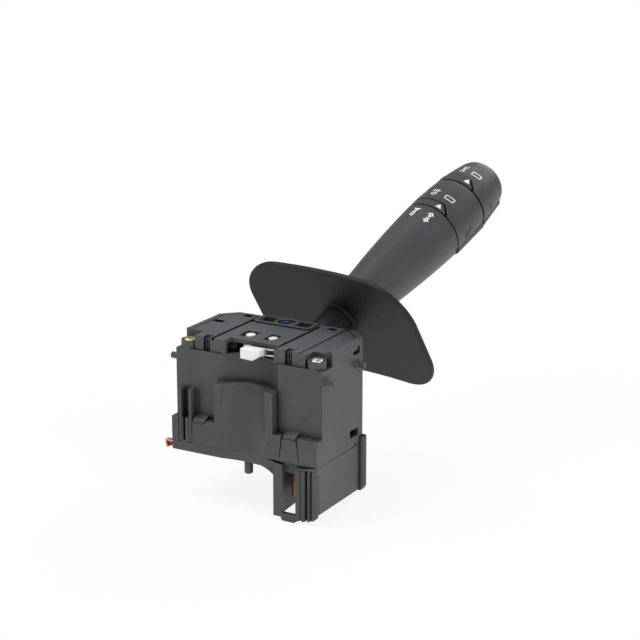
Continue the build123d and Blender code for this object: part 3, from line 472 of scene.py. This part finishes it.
# Finer shapes cut into the skins one by one, by node.
CARVINGS = {
    "case": [
        (0, 28.8, 31.2, [(3.9, 33.7), (7.0, 32.2), (7.2, 31.3), (4.2, 32.8)]),
        block(28.8, 31.0, 22.7, 23.75, 3.6, 4.5),
        block(29.3, 30.4, 25.9, 26.5, 3.0, 5.9),
    ],
    "saddle_cover": [
        # Gaps beside the left rail, and the one under the left hook.
        block(-25.3, -24.3, -4.6, -1.4, 3.9, 13.0),
        block(-27.2, -26.9, -4.6, -1.4, 3.9, 13.0),
        block(-21.2, -16.6, -4.6, -3.0, 11.0, 11.25),
    ],
    "connector_base": [
        # Right wall's mouth, the rear column's end, and the bottoms of the ribbed corner and the bar.
        (0, 27.95, 33.0, [(-2.3, -14.4), (26.4, -13.95), (26.4, -21), (-2.3, -21)]),
        (1, 26.3, 30.2, [(27.95, -14.6), (30.4, -14.6), (31.6, -12.6), (33, -12.6), (33, -21),
                         (27.95, -21)]),
        (1, -6.0, -2.2, [(25.2, -17.75), (26.7, -17.0), (28.5, -16.4), (31, -14.4), (31, -21),
                         (25.2, -21)]),
        (1, -6.0, -1.0, [(14.9, -21), (22.2, -21), (22.2, -18.0), (21.72, -18.0), (20.5, -18.7),
                         (15.9, -18.64), (15.18, -18.0), (14.9, -18.0)]),
        # Deep grooves between the ribs and beside the rear column.
        block(25.2, 26.2, -6.0, -2.1, -20, 1.5),
        block(27.4, 28.0, -6.0, -2.1, -20, 1.5),
        block(29.3, 30.4, 25.9, 26.5, -20, 3.2),
    ],
    "terminal_blades": [block(14.0, 29.0, 0.0, 30.0, -13.0, -10.8)],
    "top_cover": [
        # Front lip with the hollow under it and beside it, and the seam at the left rear.
        block(-10.0, 10.0, 2.0, 5.0, 39.9, 43.5),
        block(-10.0, 10.0, 4.0, 8.0, 38.0, 40.7),
        block(-12.6, -9.85, 2.6, 7.0, 36.2, 40.55),
        (2, 41.6, 43.5, [(-28.1, 7.5), (-27.5, 7.5), (-27.5, 27.55), (-21.1, 33.95),
                         (-21.9, 33.95), (-28.1, 27.75)]),
        # Grooves, wider than the solid's and hollowed under their left edge.
        block(-14.7, -14.4, 0.0, 32.3, 41.1, 43.5),
        block(-16.3, -15.6, 1.4, 32.3, 40.9, 42.12),
        block(10.8, 11.1, 0.0, 32.3, 41.1, 43.5),
        block(9.2, 9.9, 6.2, 32.3, 40.9, 42.12),
        # The three slots, with a hollow under their edges.
        block(-27.2, -22.9, 19.0, 21.9, 41.9, 43.5),
        block(-20.9, -17.2, 31.5, 32.9, 39.0, 43.5),
        block(14.2, 17.7, 31.5, 32.9, 39.0, 43.5),
        block(-27.4, -22.7, 19.2, 22.8, 40.5, 42.0),
        block(-21.2, -17.0, 31.0, 33.6, 40.5, 42.0),
        block(14.0, 17.9, 31.0, 33.6, 40.5, 42.0),
        # Room under the two windows of the bearing frame, and the shadow gap under its rim.
        block(-13.4, -6.0, 26.4, 33.5, 40.0, 41.8),
        block(1.2, 8.8, 26.4, 33.5, 40.0, 41.8),
        block(-14.35, 9.55, 25.2, 26.25, 42.02, 42.48),
        block(-14.35, -13.7, 26.3, 34.5, 42.02, 42.48),
        block(8.9, 9.55, 26.3, 34.5, 42.02, 42.48),
    ],
    # The pawl's head is a finer piece of its own.
    "cancel_finger": [
        block(-6.0, 10.0, -3.0, 4.7, 33.0, 42.0),
        block(4.3, 10.0, 3.0, 8.4, 33.0, 42.0),
    ],
}
# Well round the upper pivot pin: height of its middle, radius and half its height, in mm.
WELL_MIDDLE, WELL_RADIUS, WELL_HALF = 42.8, 3.45, 1.2


def edges_past(bm, angle):
    """Edges between two faces that turn by more than an angle."""
    return [e for e in bm.edges if len(e.link_faces) == 2 and e.calc_face_angle() > angle]


def round_edges(bm, rounding, clamped):
    """Rounds the sharp edges of a closed mesh by a radius in mm."""
    bmesh.ops.bevel(
        bm, geom=edges_past(bm, ROUNDED_PAST), offset=rounding * MM, offset_type="OFFSET",
        segments=ROUNDING_STEPS, profile=0.5, affect="EDGES", clamp_overlap=clamped, material=-1,
        loop_slide=True,
    )


def shade_skin(bm):
    """Smooths a mesh's shading between its sharp edges."""
    for face in bm.faces:
        face.smooth = True
    for edge in edges_past(bm, SHARP_PAST):
        edge.smooth = False


def shaded_piece(name, bm, body, slot_name, material_name=None):
    """Makes a mesh a piece whose flat faces lead its shading."""
    shade_skin(bm)
    piece = new_piece(name, bm, body, slot_name, material_name)
    weighted = piece.modifiers.new("Weighted", "WEIGHTED_NORMAL")
    weighted.keep_sharp = True
    return piece


def moulded_skin(node, rounding, ejector_depth):
    """Merged copy of a CAD node, carved, with its sharp edges rounded and its ejector marks sunk."""
    bm = bmesh.new()
    bm.from_mesh(frame["nodes"][node].data)
    low = [min(vert.co[k] for vert in bm.verts) for k in range(3)]
    high = [max(vert.co[k] for vert in bm.verts) for k in range(3)]
    bmesh.ops.remove_doubles(bm, verts=bm.verts, dist=MERGE)
    bmesh.ops.dissolve_limit(
        bm, angle_limit=FLAT_WITHIN, verts=bm.verts, edges=bm.edges, use_dissolve_boundaries=False
    )
    if node == "top_cover":
        cutter = bmesh.new()
        middle = (PIVOT.x / MM, PIVOT.y / MM, WELL_MIDDLE)
        round_cutter(cutter, middle, (0, 0, 1), WELL_RADIUS, WELL_HALF * MM)
        bm = carved(bm, cutter)
    for row in CARVINGS.get(node, []):
        cutter = bmesh.new()
        prism(cutter, *row)
        bm = carved(bm, cutter)
    if node in CARVINGS:
        # Triangles keep the carved faces flat while their edges are rounded.
        bmesh.ops.triangulate(bm, faces=bm.faces)
        bmesh.ops.remove_doubles(bm, verts=bm.verts, dist=MERGE)
    round_edges(bm, rounding, clamped=False)
    if node in EJECTOR_MARKS:
        cutter = bmesh.new()
        for centre, axis, radius in EJECTOR_MARKS[node]:
            round_cutter(cutter, centre, axis, radius, ejector_depth)
        # On a rounded mesh the exact solver turns the result inside out in some runs.
        bm = carved(bm, cutter, solver="MANIFOLD")
        bmesh.ops.remove_doubles(bm, verts=bm.verts, dist=MERGE)
    # Rounding can push a point out at a thin corner, so the skin is held inside the node's own box.
    for vert in bm.verts:
        vert.co = [min(max(c, a), b) for c, a, b in zip(vert.co, low, high)]
    return bm


class STALKSWITCH_OT_skins(bpy.types.Operator):
    """Replace the visible CAD nodes by skins with rounded edges"""

    bl_idname = "stalkswitch.skins"
    bl_label = "Moulded Skins"

    def execute(self, context):
        depth = context.scene.stalk_switch_sizes.ejector_depth
        for node, (body, slot_name, rounding) in SKINS.items():
            bm = moulded_skin(node, rounding, depth)
            skin = shaded_piece(f"{node}_skin", bm, body, slot_name)
            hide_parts(node)
        return {"FINISHED"}


# The pawl's head as prisms: nose, web, upper and lower arm, and the fin on top, in mm.
PAWL_HEAD = [
    (1, -1.0, 3.2, [(-2.5, 37.2), (2.4, 37.0), (5.1, 38.75), (5.1, 40.9), (-2.5, 40.9)]),
    block(-2.3, 4.6, 3.0, 4.72, 37.7, 40.5),
    block(4.4, 8.2, 3.9, 4.6, 40.15, 40.52),
    block(4.4, 8.2, 3.9, 4.6, 37.9, 38.45),
    (2, 40.2, 40.6, [(-2.2, 2.6), (-2.0, 3.1), (-3.6, 4.3), (-3.9, 4.0)]),
]
PAWL_ROUNDING = 0.14

# Section of the ring round the upper pivot pin: radius and height in mm.
RING_SECTION = [(3.3, 42.15), (3.3, 42.65), (3.42, 42.78), (4.2, 42.78), (4.38, 42.6), (4.38, 42.15)]
RING_STEPS = 72

# The folded copper strip as prisms: the fold and the web at its back, in mm.
CORNER_CONTACT = [
    (1, -3.15, -0.95, [
        (-30.0, 2.75), (-33.3, 2.75), (-33.55, 2.5), (-32.95, -0.2), (-32.6, -0.32), (-30.0, 0.85),
        (-30.0, 1.35), (-32.45, 0.28), (-32.95, 2.28), (-30.0, 2.28),
    ]),
    (1, -1.15, -0.75, [(-30.0, 2.6), (-33.1, 2.6), (-32.6, 0.0), (-30.0, 1.1)]),
]
STRIP_ROUNDING = 0.08


def prisms_piece(name, rows, body, slot_name, rounding, material_name=None):
    """Makes a piece of a list of prisms and rounds its edges."""
    bm = bmesh.new()
    for row in rows:
        prism(bm, *row)
    round_edges(bm, rounding, clamped=True)
    return shaded_piece(name, bm, body, slot_name, material_name)


class STALKSWITCH_OT_pawl_head(bpy.types.Operator):
    """Build the white pawl's head with its chamfered nose and its forked arm"""

    bl_idname = "stalkswitch.pawl_head"
    bl_label = "Pawl Head"

    def execute(self, context):
        prisms_piece("pawl_head", PAWL_HEAD, "cancel_pawl", "white_acetal", PAWL_ROUNDING)
        return {"FINISHED"}


class STALKSWITCH_OT_bearing_ring(bpy.types.Operator):
    """Turn the ring round the upper pivot pin"""

    bl_idname = "stalkswitch.bearing_ring"
    bl_label = "Bearing Ring"

    def execute(self, context):
        bm = bmesh.new()
        ring = [bm.verts.new((PIVOT.x + r * MM, PIVOT.y, z * MM)) for r, z in RING_SECTION]
        edges = [bm.edges.new((a, b)) for a, b in zip(ring, ring[1:] + ring[:1])]
        bmesh.ops.spin(
            bm, geom=ring + edges, cent=(PIVOT.x, PIVOT.y, 0), axis=(0, 0, 1), angle=2 * math.pi,
            steps=RING_STEPS, use_merge=True,
        )
        bmesh.ops.remove_doubles(bm, verts=bm.verts, dist=MERGE)
        bmesh.ops.recalc_face_normals(bm, faces=bm.faces)
        shaded_piece("bearing_ring", bm, "housing", "housing_plastic", "cover_plastic")
        return {"FINISHED"}


class STALKSWITCH_OT_corner_contact(bpy.types.Operator):
    """Fold the copper strip at the lower left corner"""

    bl_idname = "stalkswitch.corner_contact"
    bl_label = "Corner Contact"

    def execute(self, context):
        strip = prisms_piece(
            "corner_contact", CORNER_CONTACT, "housing", "copper", STRIP_ROUNDING, "warm_copper"
        )
        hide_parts("side_contact")
        return {"FINISHED"}


class STALKSWITCH_OT_inner_parts(bpy.types.Operator):
    """Finish the CAD nodes that stay as they are"""

    bl_idname = "stalkswitch.inner_parts"
    bl_label = "Inner Parts"

    def execute(self, context):
        slots = {row["node"]: row["material_slot"] for row in frame["record"]["subparts"]}
        for node, piece in frame["nodes"].items():
            if node not in SKINS and node != "side_contact":
                give_material(piece, slots[node])
        return {"FINISHED"}


def stalk_point(radius, angle, along):
    """Point at a radius and a distance along the stalk, at degrees from its side towards its top."""
    turn = math.radians(angle)
    spoke = STALK_SIDE * math.cos(turn) + STALK_UP * math.sin(turn)
    return PIVOT + STALK_AXIS * along + spoke * radius


def stroke(bm, start, end, width):
    """Straight line of print between two points, in mm."""
    start, end = Vector((*start, 0)), Vector((*end, 0))
    run = end - start
    line = bmesh.ops.create_grid(bm, x_segments=1, y_segments=1, size=0.5)["verts"]
    place = (
        Matrix.Translation((start + end) / 2) @ Matrix.Rotation(math.atan2(run.y, run.x), 4, "Z")
        @ Matrix.Diagonal((run.length, width, 1, 1))
    )
    bmesh.ops.transform(bm, matrix=place, verts=line)


def solid_area(bm, points):
    """Filled outline of print, in mm, anticlockwise."""
    face = bm.faces.new([bm.verts.new((x, y, 0)) for x, y in points])
    face.normal_update()
    return face


def ribbon(bm, points, width):
    """Closed line of print just inside an outline, with true corners."""
    face = solid_area(bm, points)
    bmesh.ops.inset_region(bm, faces=[face], thickness=width, use_even_offset=True, use_boundary=True)
    bmesh.ops.delete(bm, geom=[face], context="FACES")


def arc_points(centre, radius, first, last, steps):
    """Points on an arc, in mm and degrees."""
    turns = [math.radians(first + (last - first) * k / steps) for k in range(steps + 1)]
    return [(centre[0] + radius * math.cos(t), centre[1] + radius * math.sin(t)) for t in turns]


def mark_index(bm, width):
    """Solid triangle that points out along the stalk."""
    solid_area(bm, [(-1.35, -1.15), (1.35, -1.15), (0, 1.15)])


def mark_off(bm, width):
    """The off mark, a narrow slot with rounded corners laid round the stalk."""
    corners = [(1.55, 0.5), (-1.55, 0.5), (-1.55, -0.5), (1.55, -0.5)]
    outline = []
    for (x, y), first in zip(corners, (0, 90, 180, 270)):
        outline += arc_points((x, y), 0.7, first, first + 90, 5)
    ribbon(bm, outline, width)


def mark_head_lamp(bm, width):
    """Generic head lamp mark: a half-round lamp that looks along the stalk and three slanted beams."""
    size, foot = 1.35, -0.3
    bowl = arc_points((0, foot - 0.25 * size), size, 0, -180, 12)
    ribbon(bm, [(size, foot)] + bowl + [(-size, foot)], width)
    for x in (-0.95, 0, 0.95):
        stroke(bm, (x - 0.25, 0.3), (x + 0.25, 2.0), width)


def mark_fog_lamp(bm, width):
    """Generic fog lamp mark: a lamp, its beams and a wavy line across them."""
    mark_head_lamp(bm, width)
    wave = [(-1.9 + 0.42 * k, 1.15 + 0.22 * math.sin(math.pi * k / 2)) for k in range(10)]
    for start, end in zip(wave, wave[1:]):
        stroke(bm, start, end, width)


def mark_side_lamps(bm, width):
    """Generic side lamp mark: two small lamps back to back with short beams."""
    bowl = arc_points((0, 0.8), 0.9, 0, -180, 10)
    for side in (1, -1):
        ribbon(bm, [(side * x, side * y) for x, y in bowl], width)
        for x in (-1, 0, 1):
            stroke(bm, (0.6 * x, side * 1.15), (1.05 * x, side * 2.3), width)


def mark_horn(bm, width):
    """Generic horn mark: a tube with a hand loop and a flared bell."""
    stroke(bm, (-0.35, -2.5), (-0.35, 1.4), 1.5 * width)
    loop = arc_points((0.45, 0.3), 0.62, 0, 180, 8) + arc_points((0.45, -1.7), 0.62, 180, 360, 8)
    ribbon(bm, loop, 0.8 * width)
    solid_area(bm, [(-0.75, 1.2), (0.05, 1.2), (1.7, 2.55), (-2.0, 2.55)])


def mark_turn_arrows(bm, width):
    """Generic turn mark: two open arrows that point apart along the stalk."""
    arrow = [
        (0.62, 0.3), (0.62, 1.55), (1.45, 1.55), (0, 3.1), (-1.45, 1.55), (-0.62, 1.55), (-0.62, 0.3)
    ]
    ribbon(bm, arrow, width)
    ribbon(bm, [(-x, -y) for x, y in arrow], width)


# Each mark: drawing, node it lies on, body, angle round the stalk, distance along it in mm.
MARKS = {
    "mark_horn": (mark_horn, "stalk_sleeve", "lever", 86, 88.9),
    "mark_turn_arrows": (mark_turn_arrows, "stalk_sleeve", "lever", 117, 88.7),
    "mark_index_fog": (mark_index, "index_collar_fog", "lever", 116, 96.6),
    "mark_off_fog": (mark_off, "fog_ring", "fog_switch", 120, 102.6),
    "mark_front_fog": (mark_fog_lamp, "fog_ring", "fog_switch", 88, 103.2),
    "mark_rear_fog": (mark_fog_lamp, "fog_ring", "fog_switch", 56, 103.2),
    "mark_index_light": (mark_index, "index_collar_light", "horn_push", 118, 116.3),
    "mark_off_light": (mark_off, "light_knob", "light_switch", 121, 122.2),
    "mark_side_lamps": (mark_side_lamps, "light_knob", "light_switch", 90, 123.0),
    "mark_head_lamp": (mark_head_lamp, "light_knob", "light_switch", 60, 122.8),
}
INK_THICKNESS = 0.00005
# Flat drawings are cut into strips this wide, out to this far from their middle, in mm; a point this
# close to a cut counts as on it.
CUT_STEP = 0.45
CUT_REACH = 4.05
CUT_WITHIN = 1e-5
# Rays start this far from the stalk's axis, outside its surface, in metres.
RAY_START = 0.03


def wrap_on_stalk(bm, surface, angle, along, lift):
    """Wraps a flat drawing round the stalk: its x runs round the stalk and its y out along it."""
    steps = round(CUT_REACH / CUT_STEP)
    for k in range(-steps, steps + 1):
        for normal in ((1, 0, 0), (0, 1, 0)):
            bmesh.ops.bisect_plane(
                bm, geom=bm.verts[:] + bm.edges[:] + bm.faces[:], dist=CUT_WITHIN,
                plane_co=[k * CUT_STEP * c for c in normal], plane_no=normal,
            )
    centre = PIVOT + STALK_AXIS * (along * MM)
    spoke = stalk_point(1.0, angle, 0) - PIVOT
    radius = (surface.ray_cast(centre + spoke * RAY_START, -spoke)[0] - centre).length
    for vert in bm.verts:
        spoke = stalk_point(1.0, angle - math.degrees(vert.co.x * MM / radius), 0) - PIVOT
        centre = PIVOT + STALK_AXIS * ((along + vert.co.y) * MM)
        hit = surface.ray_cast(centre + spoke * RAY_START, -spoke)[0]
        vert.co = centre + spoke * ((hit - centre).length + lift)


class STALKSWITCH_OT_printed_marks(bpy.types.Operator):
    """Print the generic marks on the stalk"""

    bl_idname = "stalkswitch.printed_marks"
    bl_label = "Printed Marks"

    def execute(self, context):
        sizes = context.scene.stalk_switch_sizes
        for name, (draw, node, body, angle, along) in MARKS.items():
            flat = bmesh.new()
            draw(flat, sizes.print_stroke / MM)
            source = bmesh.new()
            source.from_mesh(frame["nodes"][node].data)
            surface = BVHTree.FromBMesh(source)
            source.free()
            wrap_on_stalk(flat, surface, angle, along, sizes.print_lift)
            bmesh.ops.remove_doubles(flat, verts=flat.verts, dist=MERGE)
            flat.normal_update()
            for face in flat.faces:
                outward = face.calc_center_median() - PIVOT
                outward -= STALK_AXIS * outward.dot(STALK_AXIS)
                if face.normal.dot(outward) < 0:
                    face.normal_flip()
            mark = new_piece(name, flat, body, "stalk_plastic", "print_ink")
            ink = mark.modifiers.new("Ink", "SOLIDIFY")
            ink.thickness = INK_THICKNESS
            ink.offset = -1.0
        return {"FINISHED"}


# Each lamp: place, width and height, power in watts. They all look at the middle of the switch.
LAMPS = {
    "key": ((-0.35, -0.25, 0.85), (0.7, 0.7), 6.0),
    "side": ((0.85, -0.25, 0.25), (0.5, 0.7), 3.6),
    "rim": ((0.1, 0.9, 0.6), (0.8, 0.4), 3.6),
}
LAMP_TARGET = (0.01, 0.05, 0.02)
FLOOR_RADIUS = 6.0
# Share of white glow that the camera sees on the floor near the switch; between the two distances it
# grows to all of it, so the floor keeps a soft shadow and has no edge.
GLOW_NEAR = 0.88
FADE_START, FADE_END = 0.12, 0.5
FLOOR_GAP = 0.0001

# The camera sees this point of the saddle's line at this pixel of a picture 640 wide and high.
ANCHOR = Vector((0, 0.015, 0.02))
ANCHOR_PIXEL = (270.55, 394.17)
PICTURE_MIDDLE = 320
FOCAL_PIXELS = 2002.16
SENSOR_WIDTH = 36.0
LENS = 112.6
AZIMUTH = math.radians(30.118)
ELEVATION = math.radians(16.031)


def either_ray(tree, first, second):
    """Gives a socket that is 1 for either of two kinds of ray."""
    rays = add_node(tree, "ShaderNodeLightPath")
    either = add_node(tree, "ShaderNodeMath", operation="MAXIMUM")
    tree.links.new(rays.outputs[first], either.inputs[0])
    tree.links.new(rays.outputs[second], either.inputs[1])
    return either.outputs[0]


def studio_lamp(name, place, target, size, power):
    """Soft rectangular lamp that looks at a point."""
    data = bpy.data.lights.new(name, "AREA")
    data.shape = "RECTANGLE"
    data.size, data.size_y = size
    data.energy = power
    lamp = bpy.data.objects.new(name, data)
    lamp.location = place
    lamp.rotation_euler = (Vector(target) - Vector(place)).to_track_quat("-Z", "Y").to_euler()
    bpy.context.scene.collection.objects.link(lamp)


def pale_floor(level):
    """Wide pale floor that keeps a soft shadow."""
    bm = bmesh.new()
    bmesh.ops.create_circle(bm, cap_ends=True, radius=FLOOR_RADIUS, segments=96)
    bmesh.ops.translate(bm, verts=bm.verts, vec=(0, 0, level))
    mesh = bpy.data.meshes.new("floor")
    bm.to_mesh(mesh)
    bm.free()
    floor = bpy.data.objects.new("floor", mesh)
    bpy.context.scene.collection.objects.link(floor)
    material = bpy.data.materials.new("pale_floor")
    material.use_nodes = True
    tree = material.node_tree
    link = tree.links.new
    shader = tree.nodes["Principled BSDF"]
    shader.inputs["Base Color"].default_value = (0.9, 0.9, 0.9, 1.0)
    shader.inputs["Roughness"].default_value = 0.9
    glow = add_node(tree, "ShaderNodeEmission", Color=(1.0, 1.0, 1.0, 1.0))
    share = add_node(tree, "ShaderNodeMath", operation="MULTIPLY", use_clamp=True)
    link(either_ray(tree, "Is Camera Ray", "Is Glossy Ray"), share.inputs[0])
    place = add_node(tree, "ShaderNodeTexCoord")
    away = add_node(tree, "ShaderNodeVectorMath", operation="LENGTH")
    link(place.outputs["Object"], away.inputs[0])
    fade = add_node(
        tree, "ShaderNodeMapRange", From_Min=FADE_START, From_Max=FADE_END, To_Min=GLOW_NEAR
    )
    link(away.outputs["Value"], fade.inputs["Value"])
    link(fade.outputs["Result"], share.inputs[1])
    mix = add_node(tree, "ShaderNodeMixShader")
    link(share.outputs[0], mix.inputs[0])
    link(shader.outputs[0], mix.inputs[1])
    link(glow.outputs[0], mix.inputs[2])
    link(mix.outputs[0], tree.nodes["Material Output"].inputs["Surface"])
    mesh.materials.append(material)
    floor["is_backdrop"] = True


class STALKSWITCH_OT_stage(bpy.types.Operator):
    """Set the floor, the lamps, the world and the camera"""

    bl_idname = "stalkswitch.stage"
    bl_label = "Studio Stage"

    def execute(self, context):
        scene = context.scene
        distance = scene.stalk_switch_sizes.camera_distance
        pale_floor(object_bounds()[0][2] - FLOOR_GAP)
        world = bpy.data.worlds.new("studio")
        scene.world = world
        world.use_nodes = True
        tree = world.node_tree
        link = tree.links.new
        ambient = tree.nodes["Background"]
        ambient.inputs["Color"].default_value = (0.95, 0.97, 1.0, 1.0)
        ambient.inputs["Strength"].default_value = 0.4
        white = add_node(tree, "ShaderNodeBackground", Color=(1.0, 1.0, 1.0, 1.0))
        mix = add_node(tree, "ShaderNodeMixShader")
        link(either_ray(tree, "Is Camera Ray", "Is Transmission Ray"), mix.inputs[0])
        link(ambient.outputs[0], mix.inputs[1])
        link(white.outputs[0], mix.inputs[2])
        link(mix.outputs[0], tree.nodes["World Output"].inputs["Surface"])
        for name, (place, size, power) in LAMPS.items():
            studio_lamp(name, place, LAMP_TARGET, size, power)
        camera_data = bpy.data.cameras.new("camera")
        camera_data.sensor_width = SENSOR_WIDTH
        camera_data.lens = LENS
        camera_data.clip_start = 0.01
        camera = bpy.data.objects.new("camera", camera_data)
        back = Vector((
            math.sin(AZIMUTH) * math.cos(ELEVATION), -math.cos(AZIMUTH) * math.cos(ELEVATION),
            math.sin(ELEVATION),
        ))
        rotation = back.to_track_quat("Z", "Y")
        right = rotation @ Vector((1, 0, 0))
        up = rotation @ Vector((0, 1, 0))
        across, down = [(pixel - PICTURE_MIDDLE) / FOCAL_PIXELS * distance for pixel in ANCHOR_PIXEL]
        camera.location = ANCHOR + back * distance - right * across + up * down
        camera.rotation_euler = rotation.to_euler()
        scene.collection.objects.link(camera)
        scene.camera = camera
        scene.view_settings.view_transform = "Standard"
        return {"FINISHED"}


class STALKSWITCH_PT_panel(bpy.types.Panel):
    """Lists the steps that dress the switch"""

    bl_label = "Stalk Switch"
    bl_idname = "STALKSWITCH_PT_panel"
    bl_space_type = "VIEW_3D"
    bl_region_type = "UI"
    bl_category = "Stalk Switch"

    def draw(self, context):
        layout = self.layout
        for group in (context.scene.stalk_switch_sizes, context.scene.stalk_switch_colours):
            for key in group.__annotations__:
                layout.prop(group, key)
        for operator in OPERATORS:
            layout.operator(operator.bl_idname)


OPERATORS = (
    STALKSWITCH_OT_skins,
    STALKSWITCH_OT_pawl_head,
    STALKSWITCH_OT_bearing_ring,
    STALKSWITCH_OT_corner_contact,
    STALKSWITCH_OT_inner_parts,
    STALKSWITCH_OT_printed_marks,
    STALKSWITCH_OT_stage,
)
CLASSES = (StalkSwitchSizes, StalkSwitchColours) + OPERATORS + (STALKSWITCH_PT_panel,)


def register():
    """Registers the classes and puts the settings on the scene."""
    for cls in CLASSES:
        bpy.utils.register_class(cls)
    bpy.types.Scene.stalk_switch_sizes = bpy.props.PointerProperty(type=StalkSwitchSizes)
    bpy.types.Scene.stalk_switch_colours = bpy.props.PointerProperty(type=StalkSwitchColours)


def unregister():
    """Takes the settings and the classes away again."""
    del bpy.types.Scene.stalk_switch_colours
    del bpy.types.Scene.stalk_switch_sizes
    for cls in reversed(CLASSES):
        bpy.utils.unregister_class(cls)


def main():
    """Builds the dressing from the frame."""
    register()
    make_materials(bpy.context.scene.stalk_switch_colours)
    bpy.ops.stalkswitch.skins()
    bpy.ops.stalkswitch.pawl_head()
    bpy.ops.stalkswitch.bearing_ring()
    bpy.ops.stalkswitch.corner_contact()
    bpy.ops.stalkswitch.inner_parts()
    bpy.ops.stalkswitch.printed_marks()
    bpy.ops.stalkswitch.stage()


if __name__ == "__main__":
    main()
